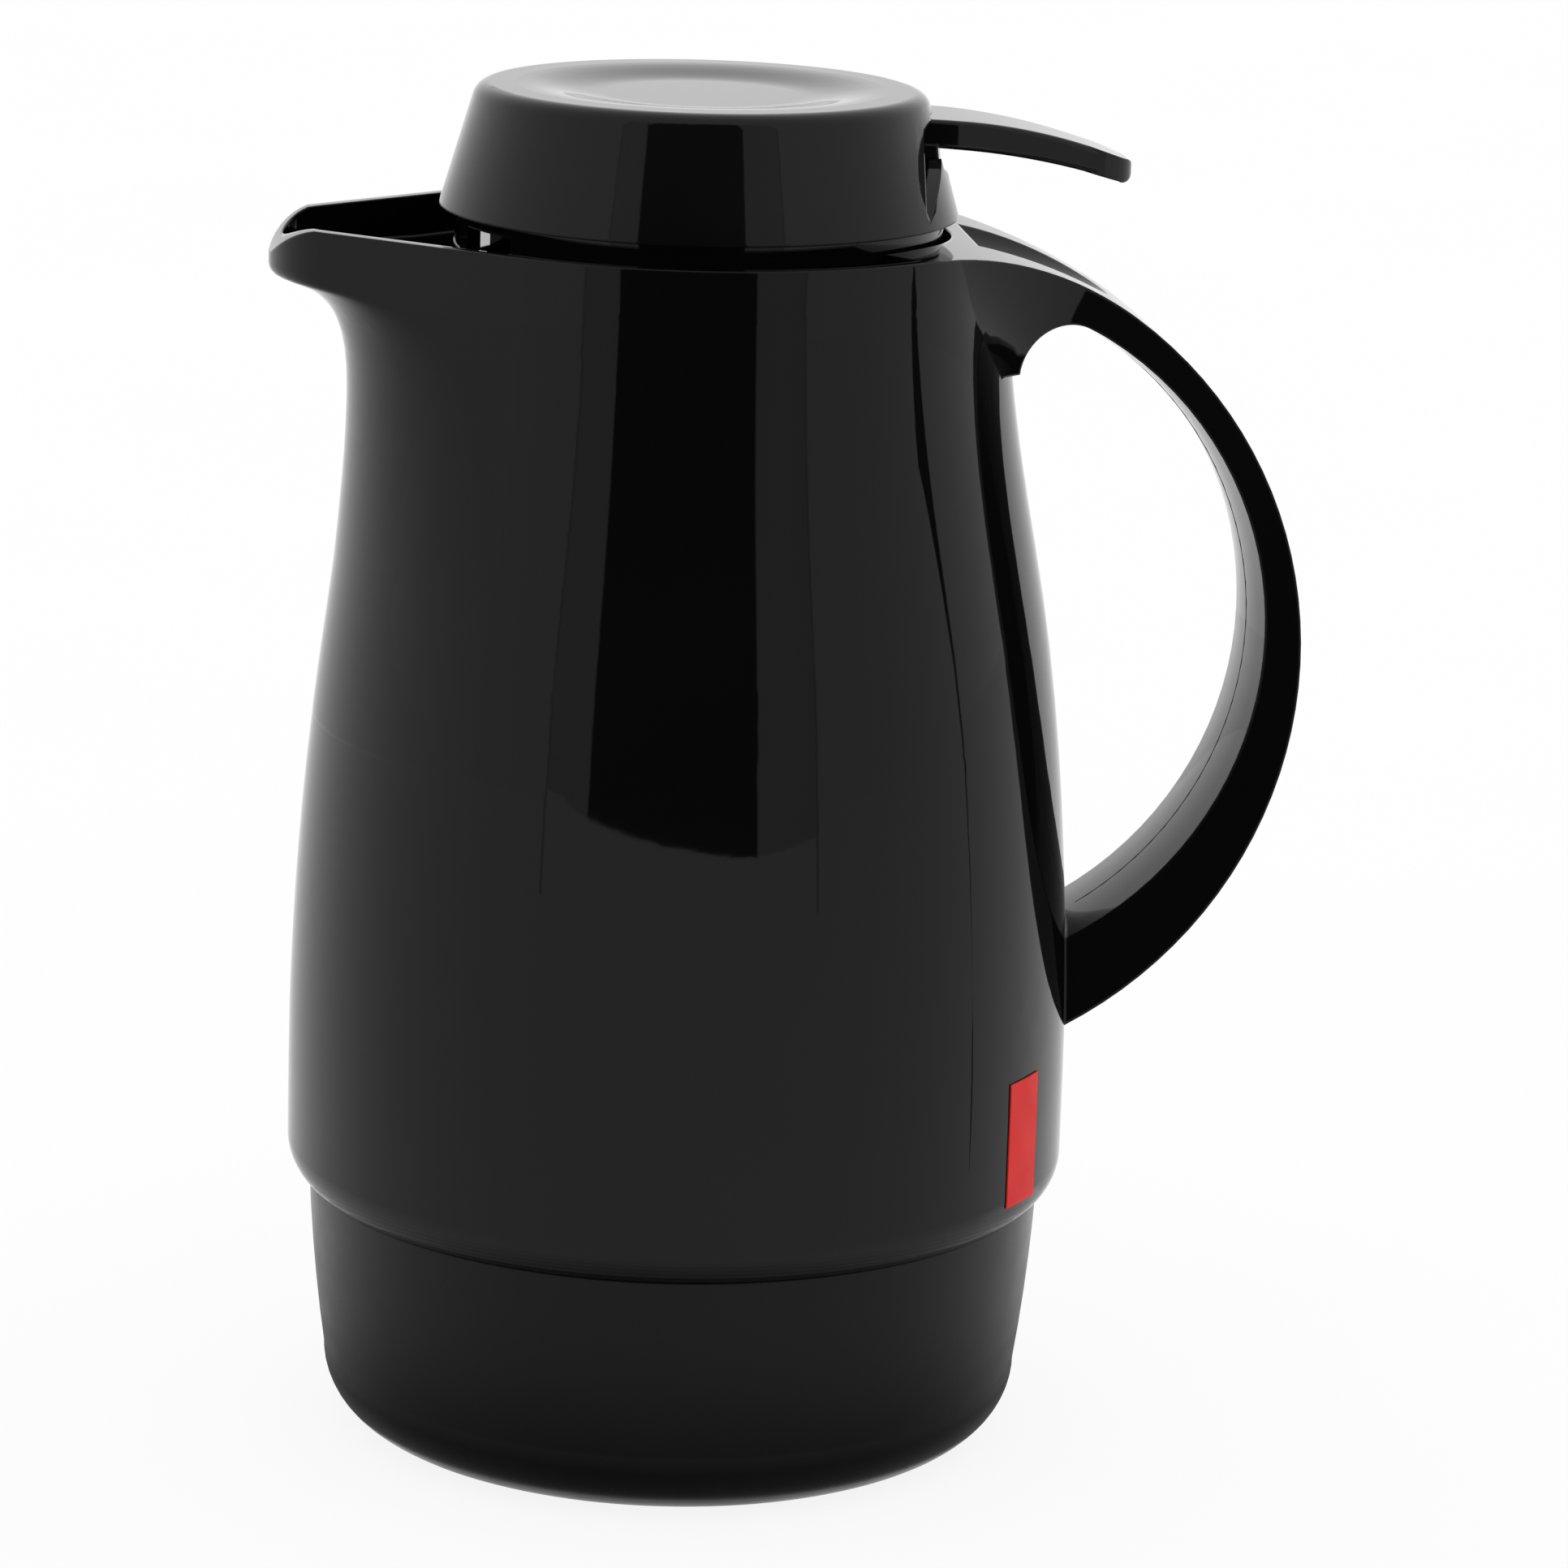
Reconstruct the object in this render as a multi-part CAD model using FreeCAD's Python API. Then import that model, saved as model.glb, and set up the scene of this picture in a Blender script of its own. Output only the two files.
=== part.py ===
import FreeCAD, Part
import math
import os

# Sizes in millimetres. Z is up, +X runs to the handle, the spout is at -X.
# The origin is the centre of the base, on the table.

# Jacket barrel: radius from the rim's (0) to the belly's (1), at shares of the way up to the rim
rim_height = 209.0
rim_radius = 52.0
rim_wall = 2.2
barrel_shape = [(0.262, 0.907), (0.559, 0.573), (0.772, 0.187), (0.903, 0.033)]
belly_radius = 67.0
step_height = 44.0
step_inset = 3.0
belly_rise = 6.0
belly_band = 14.0
jacket_wall = 2.6

# Clearances shared by the fits
fit_gap = 0.1
seam_gap = 0.4
spigot_clearance = 0.2
stem_clearance = 0.06
pin_clearance = 0.05
pin_press = 0.01
thread_clearance = 0.3
clip_gap = 0.2

# Base cup
base_inset = 0.8
base_taper = 2.9
base_edge_width = 11.3
base_edge_height = 12.0
base_flank_bulge = 0.4
base_wall = 2.6
base_floor = 3.0
base_corner_rise = 4.0
base_shoulder_drop = 6.0
spigot_height = 7.0
spigot_step = 1.6
support_radius = 21.5
support_wall = 3.0
support_top = 15.0
seal_groove_rise = 3.0
seal_groove_depth = 1.7
seal_ring_wire = 0.85
seal_ring_proud = 0.12

# Handle: two circles in the XZ plane, the inner one crowned across the strap
handle_inset = 20.8
strap_thickness = 13.7
finger_shift = 6.5
finger_lift = 4.5
finger_corner_radius = 7.5
strap_half_width = 13.0
crown_rise = 0.8
waist_swell = 1.6
root_depth = 25.0
root_reach = 18.0
root_block = 32.0
root_steps = 6
root_sweep_low = 9.0
root_sweep_high = 75.0
root_sink = 0.1

# Thumb scoop on the handle root
scoop_inset = 6.4
scoop_length = 24.4
scoop_depth = 4.0
scoop_radius = 21.0

# Spout keel: depth below the rim, and share of the reach it stands out from the barrel there
spout_reach = 19.6
nose_drop_low = 7.4
nose_drop_high = 5.6
keel_shape = [(84.0, 0.0015), (70.0, 0.011), (58.0, 0.04), (49.0, 0.088), (29.0, 0.219), (19.0, 0.334),
              (13.8, 0.486), (10.9, 0.68), (9.6, 0.867), (8.8, 0.966), (nose_drop_low, 1.0)]
keel_steps = 28
keel_nose_radius = 20.0
channel_inset = 6.0
droop_length = 11.7
droop_run = 3.2
droop_drop = 1.7

# Gutter round the closure
gutter_depth = 7.0
gutter_floor_thickness = 2.4
gutter_width = 9.6
deck_half_angle = 50.0

# Double-walled glass flask
flask_side_gap = 1.8
flask_shoulder_gap = 2.7
flask_wall = 1.8
flask_vacuum = 4.2
flask_corner = 15.0
flask_inner_corner = 12.5
flask_shoulder_rise = 46.0
neck_length = 12.4
neck_wall = 5.1
inner_bottom_gap = 6.0
inner_shoulder_drop = 4.0
inner_neck_drop = 2.0
mouth_bead = 1.6
tip_length = 6.5
tip_outline = [(2.0, 5.5), (3.2, 0.4)]
tip_flare_radius = 6.0
spacer_count = 3
spacer_drop = 26.0
spacer_radius = 6.0
centring_drop = 22.0
centring_width = 8.0
cushion_thickness = 7.0
cushion_bore = 6.0
cushion_overhang = 4.5
cushion_skirt = 3.0
cushion_chamfer = 2.0
cushion_slack = 0.3

# Neck collar and its gasket
collar_inset = 8.4
collar_wall = 2.4
collar_flange_width = 3.0
collar_flange_thickness = 2.0
collar_height = 16.0
lip_thickness = 3.0
lip_width = 7.6
lip_overhang = 1.6
neck_gasket_thickness = 1.6
neck_gasket_overhang = 1.0
stopper_gasket_thickness = 1.5
gasket_inset = 0.6

# Screw thread between collar and plug
thread_pitch = 6.0
thread_depth = 1.0
thread_width = 1.8
thread_crest_share = 0.6
thread_bury = 0.3
thread_rise = 2.1

# Stopper plug: a threaded cup below, a windowed ring above
plug_clearance = 1.4
plug_wall = 2.6
plug_floor_thickness = 2.5
seat_share = 0.4
ring_clearance = 1.4
ring_wall = 2.4
ring_height = 6.2
ring_floor_thickness = 2.0
ledge_thickness = 2.4
ledge_width = 2.6
spigot_wall = 2.0
spigot_rise = 3.0
window_count = 3
window_step = 26.0
window_half_width = 7.0
window_reach = 11.0

# Cap: a cone with a rounded top edge and a shallow dish
cap_hem_drop = 0.4
cap_overhang = 2.5
cap_height = 20.4
cap_taper = 6.0
cap_edge_radius = 2.8
cap_wall = 2.2
cap_inner_chamfer = 2.0
cap_fit_width = 1.0
cap_seat_room = 0.3
dish_inset = 13.5
dish_slope = 14.0
dish_depth = 1.3

# Lever slot in the cap, and the arch-shaped hollow either side of it
slot_half_width = 10.6
slot_rise = 6.8
slot_drop = 3.1
slot_inset = 12.5
relief_rise = 3.8
relief_width = 10.0
relief_low_depth = 0.3
relief_high_depth = 0.8
arch_inset = 2.5
arch_back_wall = 1.6
arch_back_rise = 4.0
arch_drop = 4.2
arch_shoulder = (9.8, 7.5)
arch_foot = (13.4, 1.7)
arch_flank = (4.4, 7.8)
arch_inner_rise = 10.2

# Valve guide plate with the two cheeks that carry the lever's pin
guide_thickness = 2.0
guide_boss_radius = 8.2
guide_boss_drop = 2.0
pivot_inset = 13.0
pivot_drop = 7.8
pin_radius = 1.5
cheek_gap = 1.2
cheek_wall = 3.2
cheek_round = 3.4
cheek_spread = 2.5

# Lever: an arm outside, a fork inside, and a leg that closes the slot, placed from the pivot
lever_reach = 45.9
lever_top_root = (8.5, 4.0)
lever_top_middle = (31.0, 1.3)
lever_tip_top = -2.9
lever_tip_nose = -5.2
lever_tip_low = -6.5
lever_tip_top_inset = 1.6
lever_tip_low_inset = 3.0
lever_low_middle = (28.0, -2.8)
lever_low_root = (11.0, -0.8)
lever_side_gap = 0.6
lever_tip_half_width = 6.5
lever_taper = 15.0
lever_edge_round = 0.8
lever_boss = 3.0
boss_side_gap = 0.4
fork_half_gap = 3.6
fork_prong = 4.4
fork_reach = 10.0
fork_floor_gap = 0.5
fork_bend_gap = 1.8
nose_radius = 4.0
nose_drop = 8.9
nose_slope = 1.5
leg_rise = 0.4
leg_stand_out = 0.4
leg_wall = 1.6
leg_side_gap = 0.4
leg_overlap = 0.6

# Valve: disc and stem, seal, spring and clip
stem_radius = 3.0
disc_overlap = 4.0
disc_thickness = 2.8
seal_thickness = 2.0
seal_gap = 0.05
seal_inset = 0.4
seal_overlap = 2.0
clip_width = 3.4
clip_thickness = 2.0
clip_slot_half_width = 2.2
clip_grip = 0.03
stem_over_clip = 0.3
spring_clearance = 2.65
spring_wire = 0.55
spring_turns = 4.5

# Label on the jacket
label_half_width = 5.0
label_rise = 5.3
label_height = 21.7
label_angle = -35.0
label_thickness = 0.25

# Heights that follow, from the table up
beyond = rim_height
belly_low = step_height + belly_rise
belly_high = belly_low + belly_band
base_top = step_height - seam_gap
label_low = step_height + label_rise
label_high = label_low + label_height
flask_bottom = support_top + cushion_thickness
gutter_floor = rim_height - gutter_depth
nose_high = rim_height - nose_drop_high
collar_bottom = gutter_floor - collar_height
mouth_height = collar_bottom - neck_gasket_thickness
flask_neck_height = mouth_height - neck_length
flask_shoulder_height = flask_neck_height - flask_shoulder_rise
spacer_height = flask_shoulder_height - spacer_drop
centring_high = flask_shoulder_height - centring_drop
plug_bottom = collar_bottom + lip_thickness + stopper_gasket_thickness
thread_low = plug_bottom + thread_rise
thread_climb = gutter_floor - fit_gap - thread_low - thread_width
seat_height = plug_bottom + plug_floor_thickness
ring_low = gutter_floor + ring_clearance
ledge_low = ring_low + ring_height
ledge_high = ledge_low + ledge_thickness
spigot_top = ledge_high + spigot_rise
cap_hem_height = ledge_high - cap_hem_drop
cap_top = cap_hem_height + cap_height
slot_low = cap_hem_height + slot_rise
slot_high = cap_top - slot_drop
relief_low = cap_hem_height + relief_rise
guide_low = ledge_high
guide_high = guide_low + guide_thickness
pivot_z = cap_top - pivot_drop
leg_low = slot_low + leg_rise
disc_low = seat_height + seal_thickness
disc_high = disc_low + disc_thickness
nose_z = pivot_z - nose_drop
clip_low = nose_z + nose_radius + clip_gap
clip_high = clip_low + clip_thickness
stem_top = clip_high + stem_over_clip

# Radii and places that follow, from the outside in
step_radius = belly_radius - step_inset
base_top_radius = step_radius - base_inset
base_low_radius = base_top_radius - base_taper
foot_radius = base_low_radius - base_edge_width
base_spigot_radius = step_radius - spigot_step
support_bore = support_radius - support_wall
cushion_radius = support_radius + cushion_overhang
handle_radius = 0.5 * (rim_height - belly_high)
handle_centre_x = rim_radius - handle_inset
handle_centre_z = rim_height - handle_radius
finger_radius = handle_radius - strap_thickness
finger_centre_x = handle_centre_x + finger_shift
finger_centre_z = handle_centre_z + finger_lift
waist_radius = rim_radius + waist_swell
root_low = rim_height - root_depth
root_inside_x = rim_radius - root_reach
root_block_x = rim_radius - root_block
scoop_start_x = rim_radius - scoop_inset
scoop_end_x = scoop_start_x + scoop_length
spout_tip_x = -rim_radius - spout_reach
droop_start_x = spout_tip_x + droop_length
channel_start_x = channel_inset - rim_radius
channel_back_x = root_block - rim_radius
ring_recess_radius = rim_radius - gutter_width
ring_radius = ring_recess_radius - ring_clearance
cap_hem_radius = ring_radius + cap_overhang
cap_top_radius = cap_hem_radius - cap_taper
cap_bore = ring_radius - cap_fit_width
spigot_bore = cap_bore - fit_gap - spigot_wall
ledge_bore = ring_radius - ring_wall - ledge_width
window_start = ring_radius - window_reach
dish_radius = cap_top_radius - dish_inset
arch_start_x = cap_top_radius - arch_inset
slot_start_x = cap_top_radius - slot_inset
relief_bore = cap_bore - relief_width
relief_low_radius = cap_bore + relief_low_depth
relief_high_radius = cap_bore + relief_high_depth
collar_radius = ring_recess_radius - collar_inset
collar_bore = collar_radius - collar_wall
collar_flange_radius = collar_radius + collar_flange_width
lip_bore = collar_bore - lip_width
flask_bore_radius = lip_bore - lip_overhang
flask_neck_radius = flask_bore_radius + neck_wall
plug_radius = collar_bore - plug_clearance
seat_bore = seat_share * plug_radius
disc_radius = seat_bore + disc_overlap
seal_bore = seat_bore - seal_overlap
spring_radius = stem_radius + spring_clearance + spring_wire
clip_radius = stem_radius + clip_width
pivot_x = cap_bore - pivot_inset
lever_tip_x = pivot_x + lever_reach
lever_taper_x = pivot_x + lever_taper
lever_root_half_width = slot_half_width - lever_side_gap
leg_half_width = slot_half_width - leg_side_gap
leg_low_radius = cap_bore + leg_stand_out
cheek_inner = slot_half_width + cheek_gap
cheek_outer = cheek_inner + cheek_wall
fork_half_width = fork_half_gap + fork_prong

origin = FreeCAD.Vector(0, 0, 0)
across = FreeCAD.Vector(0, 1, 0)
up = FreeCAD.Vector(0, 0, 1)
inward = FreeCAD.Vector(-1, 0, 0)


def point(x, y, z):
    return FreeCAD.Vector(x, y, z)


# A point in the upright plane through the handle
def side(x, z):
    return FreeCAD.Vector(x, 0, z)


# A point seen from above
def plan(x, y, z=0.0):
    return FreeCAD.Vector(x, y, z)


def line(a, b):
    return Part.LineSegment(a, b).toShape()


def arc(a, middle, b):
    return Part.Arc(a, middle, b).toShape()


def path(points):
    return [line(a, b) for a, b in zip(points, points[1:])]


def closed(points):
    return path(points + points[:1])


def spline(points, first=None, last=None):
    curve = Part.BSplineCurve()
    if first is None:
        curve.interpolate(points)
    else:
        curve.interpolate(points, InitialTangent=first, FinalTangent=last)
    return curve.toShape()


def filled(edges):
    return Part.Face(Part.Wire(Part.__sortEdges__(edges)))


# Solid of revolution about the vertical axis
def turned(edges):
    return filled(edges).revolve(origin, up, 360)


def disc(radius, low, high):
    return Part.makeCylinder(radius, high - low, plan(0, 0, low))


def tube(outer, inner, low, high):
    return disc(outer, low, high).cut(disc(inner, low, high))


# Rod along Y through a point of the upright plane
def cross_rod(radius, half_width, x, z):
    return Part.makeCylinder(radius, 2 * half_width, point(x, -half_width, z), across)


# Box centred on the upright plane
def block(low_x, high_x, half_width, low, high):
    return Part.makeBox(high_x - low_x, 2 * half_width, high - low, point(low_x, -half_width, low))


# Side outline made into a solid of the given half width
def crossways(edges, half_width):
    face = filled(edges)
    face.translate(plan(0, -half_width))
    return face.extrude(plan(0, 2 * half_width))


# Plan outline made into a solid between two heights
def upright(edges, low, high):
    face = filled(edges)
    face.translate(up * low)
    return face.extrude(up * (high - low))


def barrel_edge(grow):
    points = [side(belly_radius + grow, belly_high)]
    for rise, swell in barrel_shape:
        height = belly_high + rise * (rim_height - belly_high)
        radius = rim_radius + swell * (belly_radius - rim_radius)
        points.append(side(radius + grow, height))
    points.append(side(rim_radius + grow, rim_height))
    return spline(points, up, up)


# The whole barrel as a solid, larger all round by grow
def barrel(grow):
    low = side(step_radius + grow, step_height)
    belly = side(belly_radius + grow, belly_low)
    rise = belly_low - step_height
    inset = belly_radius - step_radius
    radius = (rise * rise + inset * inset) / (2 * inset)
    half = 0.5 * math.asin(rise / radius)
    middle_x = belly.x - radius + radius * math.cos(half)
    middle = side(middle_x, belly_low - radius * math.sin(half))
    edges = [line(side(0, step_height), low), arc(low, middle, belly)]
    edges.append(line(belly, side(belly.x, belly_high)))
    edges.append(barrel_edge(grow))
    edges += path([side(rim_radius + grow, rim_height), side(0, rim_height), side(0, step_height)])
    return turned(edges)


# Barrel radius at a height, found on its edge by halving
def barrel_radius(height):
    edge = barrel_edge(0.0)
    low = edge.FirstParameter
    high = edge.LastParameter
    for halving in range(40):
        middle = 0.5 * (low + high)
        if edge.valueAt(middle).z < height:
            low = middle
        else:
            high = middle
    return edge.valueAt(middle).x


# Level section of barrel and spout: the barrel's circle and a round nose, joined by tangent flanks
# The flanks keep one direction, so the nose is rounder where it stands out less
def spout_section(height, tip):
    barrel_r = barrel_radius(height)
    lean = (rim_radius - keel_nose_radius) / (spout_tip_x + keel_nose_radius)
    spread = math.sqrt(1 - lean ** 2)
    nose_r = (barrel_r - lean * tip) / (1 + lean)
    reach = -tip - nose_r
    far = plan(barrel_r * lean, barrel_r * spread, height)
    near = plan(far.x, -far.y, height)
    far_nose = plan(nose_r * lean - reach, nose_r * spread, height)
    near_nose = plan(far_nose.x, -far_nose.y, height)
    back = plan(barrel_r, 0, height)
    turn = 0.5 * math.atan2(far.y, far.x)
    far_middle = plan(barrel_r * math.cos(turn), barrel_r * math.sin(turn), height)
    near_middle = plan(far_middle.x, -far_middle.y, height)
    edges = [arc(back, far_middle, far), line(far, far_nose), arc(far_nose, plan(tip, 0, height), near_nose)]
    edges += [line(near_nose, near), arc(near, near_middle, back)]
    return Part.Wire(edges)


# Upper barrel with the spout: sections lofted up the keel, then an upright nose whose lip droops
def upper_barrel():
    keel = spline([side(-share * spout_reach, rim_height - drop) for drop, share in keel_shape])
    length = keel.LastParameter - keel.FirstParameter
    sections = []
    for step in range(keel_steps + 1):
        spot = keel.valueAt(keel.FirstParameter + length * (1 - (1 - step / keel_steps) ** 2))
        sections.append(spout_section(spot.z, spot.x - barrel_radius(spot.z)))
    shaft = Part.makeLoft(sections, True, False)
    beak = Part.makeLoft([sections[-1], spout_section(rim_height, spout_tip_x)], True, True)
    tip = side(spout_tip_x, nose_high)
    rise = side(droop_start_x, rim_height)
    middle = side(spout_tip_x + droop_run, rim_height - droop_drop)
    edges = path([tip, side(-beyond, nose_high), side(-beyond, beyond + rim_height)])
    edges += path([side(-beyond, beyond + rim_height), side(droop_start_x, beyond + rim_height), rise])
    edges.append(arc(rise, middle, tip))
    return shaft.fuse(beak.cut(crossways(edges, beyond)))


# Level section of the handle root: hollow curves that run from the barrel into the strap's sides
def root_section(height, sweep):
    barrel_r = barrel_radius(height) - root_sink
    strap_y = strap_half_width - root_sink
    centre_y = strap_y + sweep
    centre_x = math.sqrt((barrel_r + sweep) ** 2 - centre_y ** 2)
    share = barrel_r / (barrel_r + sweep)
    start = plan(centre_x * share, centre_y * share, height)
    end = plan(centre_x, strap_y, height)
    middle = (start + end) * 0.5 - plan(centre_x, centre_y, height)
    middle = plan(centre_x, centre_y, height) + middle * (sweep / middle.Length)
    near_start = plan(start.x, -start.y, height)
    near_middle = plan(middle.x, -middle.y, height)
    near_end = plan(end.x, -end.y, height)
    edges = [arc(start, middle, end), line(end, near_end), arc(near_end, near_middle, near_start)]
    near_inside = plan(root_block_x, near_start.y, height)
    edges += path([near_start, near_inside, plan(root_block_x, start.y, height), start])
    return Part.Wire(edges)


# Handle root, widest at the rim
def handle_root():
    sections = []
    for step in range(root_steps + 1):
        share = step / root_steps
        height = root_low + share * (rim_height - root_low)
        sections.append(root_section(height, root_sweep_low + share * (root_sweep_high - root_sweep_low)))
    return Part.makeLoft(sections, True, False)


# Finger opening: a round bar along Y whose waist gives the strap its crown
def spool(centre_x, centre_z, crest_radius):
    edge_x = centre_x + crest_radius + crown_rise
    crest = side(centre_x + crest_radius, centre_z)
    near = point(edge_x, -strap_half_width, centre_z)
    far = point(edge_x, strap_half_width, centre_z)
    near_end = point(edge_x, -beyond, centre_z)
    far_end = point(edge_x, beyond, centre_z)
    near_axis = point(centre_x, -beyond, centre_z)
    far_axis = point(centre_x, beyond, centre_z)
    edges = [line(near_axis, near_end), line(near_end, near), arc(near, crest, far)]
    edges += path([far, far_end, far_axis, near_axis])
    return filled(edges).revolve(near_axis, across, 360)


# Crescent strap, wide at the top root, with a rounded corner where fingers meet the barrel
def handle():
    crescent = cross_rod(handle_radius, beyond, handle_centre_x, handle_centre_z)
    crescent = crescent.cut(spool(finger_centre_x, finger_centre_z, finger_radius))
    strap_block = block(root_inside_x, beyond, strap_half_width, step_height, beyond + rim_height)
    strap = crescent.common(strap_block)
    reach = finger_radius - finger_corner_radius
    corner_x = waist_radius + finger_corner_radius
    run = corner_x - finger_centre_x
    rise = math.sqrt(reach ** 2 - run ** 2)
    corner_z = finger_centre_z + rise
    out_x = corner_x + run / 2.5
    out_z = corner_z + rise / 2.5
    outline = [side(corner_x, corner_z), side(out_x, out_z)]
    outline += [side(root_inside_x, out_z), side(root_inside_x, corner_z)]
    filler = crossways(closed(outline), beyond).cut(spool(corner_x, corner_z, finger_corner_radius))
    root = handle_root()
    strap = strap.fuse(filler.common(strap_block))
    return strap.fuse(root.common(crescent)).fuse(root.common(filler))


# Room inside the jacket, below the gutter floor
def jacket_cavity():
    lip_x = base_spigot_radius + spigot_clearance
    edges = path([side(0, step_height), side(lip_x, step_height), side(lip_x, belly_low)])
    edges.append(line(side(lip_x, belly_low), side(belly_radius - jacket_wall, belly_high)))
    edges.append(barrel_edge(-jacket_wall))
    edges += path([side(rim_radius - jacket_wall, rim_height), side(0, rim_height), side(0, step_height)])
    return turned(edges).common(disc(beyond, step_height, gutter_floor - gutter_floor_thickness))


# Ring-shaped gutter, left solid at the handle as a level deck
def gutter():
    high = rim_height + beyond
    spread = beyond * math.tan(math.radians(deck_half_angle))
    wedge = closed([plan(0, 0), plan(beyond, -spread), plan(beyond, spread)])
    ring = disc(rim_radius - rim_wall, gutter_floor, high).cut(upright(wedge, step_height, high))
    return ring.fuse(disc(ring_recess_radius, gutter_floor, high))


# Pouring channel from the gutter out along the spout
def spout_channel():
    high = rim_height + beyond
    tip_floor = nose_high - fit_gap
    outline = [side(channel_back_x, gutter_floor), side(channel_start_x, gutter_floor)]
    outline += [side(spout_tip_x, tip_floor), side(spout_tip_x, high), side(channel_back_x, high)]
    lane = Part.Face(spout_section(gutter_floor, spout_tip_x).makeOffset2D(-rim_wall))
    return crossways(closed(outline), beyond).common(lane.extrude(up * high))


def handle_top(x):
    return handle_centre_z + math.sqrt(handle_radius ** 2 - (x - handle_centre_x) ** 2)


# Round hollow for the thumb, deep at the cap and running out along the strap
def thumb_scoop():
    start = side(scoop_start_x, handle_top(scoop_start_x) - scoop_depth)
    run = side(scoop_end_x, handle_top(scoop_end_x)) - start
    normal = side(-run.z, run.x).normalize()
    roll = Part.makeCylinder(scoop_radius, 3 * run.Length, start + normal * scoop_radius - run, run)
    return roll.common(block(scoop_start_x, beyond, beyond, finger_centre_z, beyond + rim_height))


def body_jacket():
    upper = upper_barrel()
    shell = barrel(0.0).common(disc(beyond, step_height, upper.BoundBox.ZMin)).fuse(upper)
    shell = shell.fuse(handle())
    sky = block(handle_centre_x, beyond, beyond, handle_centre_z, beyond + rim_height)
    sky = sky.cut(cross_rod(handle_radius, beyond, handle_centre_x, handle_centre_z))
    shell = shell.cut(sky).removeSplitter()
    for hollow in (jacket_cavity(), gutter(), spout_channel(), thumb_scoop()):
        shell = shell.cut(hollow)
    mouth = disc(collar_radius + fit_gap, collar_bottom, rim_height)
    return shell.cut(mouth).removeSplitter()


def base_cup():
    share = math.sqrt(0.5)
    foot = side(foot_radius, 0)
    edge_top = side(base_low_radius, base_edge_height)
    edge_x = foot_radius + share * (base_low_radius - foot_radius)
    edge_middle = side(edge_x, (1 - share) * base_edge_height)
    shoulder = side(base_top_radius, base_top)
    flank_x = 0.5 * (base_low_radius + base_top_radius) + base_flank_bulge
    flank_middle = side(flank_x, 0.5 * (base_edge_height + base_top))
    inside = base_spigot_radius - base_wall
    rim = base_top + spigot_height
    edges = [line(origin, foot), arc(foot, edge_middle, edge_top), arc(edge_top, flank_middle, shoulder)]
    edges += path([shoulder, side(base_spigot_radius, base_top), side(base_spigot_radius, rim),
                   side(inside, rim), side(inside, base_top - base_shoulder_drop),
                   side(base_low_radius - base_wall, base_edge_height + base_corner_rise),
                   side(foot_radius, base_floor), side(support_radius, base_floor),
                   side(support_radius, support_top), side(support_bore, support_top),
                   side(support_bore, base_floor), side(0, base_floor), origin])
    low = base_top + seal_groove_rise
    high = low + 2 * (seal_ring_wire + fit_gap)
    return turned(edges).cut(tube(step_radius, base_spigot_radius - seal_groove_depth, low, high))


def base_seal_ring():
    height = base_top + seal_groove_rise + seal_ring_wire + fit_gap
    radius = base_spigot_radius + seal_ring_proud - seal_ring_wire
    return Part.makeTorus(radius, seal_ring_wire, plan(0, 0, height), up)


# One flask wall line: round bottom corner, straight side, shoulder drawn in to the neck
def flask_line(radius, neck, bottom, corner, shoulder, neck_start):
    turn = corner * (1 - math.sqrt(0.5))
    side_low = side(radius, bottom + corner)
    side_high = side(radius, shoulder)
    edges = [arc(side(radius - corner, bottom), side(radius - turn, bottom + turn), side_low)]
    edges.append(line(side_low, side_high))
    edges.append(spline([side_high, side(neck, neck_start)], up, up))
    return edges


# As wide as the base's spigot and the jacket's shoulder leave room for
flask_radius = base_spigot_radius - base_wall - flask_side_gap
flask_radius = min(flask_radius, barrel_radius(flask_shoulder_height) - jacket_wall - flask_shoulder_gap)
flask_inner_radius = flask_radius - flask_wall - flask_vacuum


def glass_outer():
    inside = flask_radius - flask_wall
    neck_in = flask_neck_radius - flask_wall
    corner_in = flask_corner - flask_wall
    floor = flask_bottom + flask_wall
    top = mouth_height - mouth_bead
    shoulder = flask_shoulder_height
    neck = flask_neck_height
    edges = flask_line(flask_radius, flask_neck_radius, flask_bottom, flask_corner, shoulder, neck)
    edges += flask_line(inside, neck_in, floor, corner_in, shoulder, neck)
    edges += path([side(flask_neck_radius, neck), side(flask_neck_radius, top),
                   side(neck_in, top), side(neck_in, neck)])
    bottom = [side(inside - corner_in, floor), side(0, floor), side(0, flask_bottom - tip_length)]
    bottom += [side(x, flask_bottom - drop) for x, drop in tip_outline]
    bottom += [side(tip_flare_radius, flask_bottom), side(flask_radius - flask_corner, flask_bottom)]
    edges += path(bottom)
    return turned(edges)


def glass_inner():
    inside = flask_inner_radius - flask_wall
    neck_out = flask_bore_radius + flask_wall
    corner_in = flask_inner_corner - flask_wall
    bottom = flask_bottom + flask_wall + inner_bottom_gap
    floor = bottom + flask_wall
    shoulder = flask_shoulder_height - inner_shoulder_drop
    neck = flask_neck_height - inner_neck_drop
    bead = mouth_height - mouth_bead
    edges = flask_line(flask_inner_radius, neck_out, bottom, flask_inner_corner, shoulder, neck)
    edges += flask_line(inside, flask_bore_radius, floor, corner_in, shoulder, neck)
    edges += path([side(neck_out, neck), side(neck_out, bead), side(flask_neck_radius, bead),
                   side(flask_neck_radius, mouth_height), side(flask_bore_radius, mouth_height),
                   side(flask_bore_radius, neck)])
    edges += path([side(inside - corner_in, floor), side(0, floor), side(0, bottom),
                   side(flask_inner_radius - flask_inner_corner, bottom)])
    return turned(edges)


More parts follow.
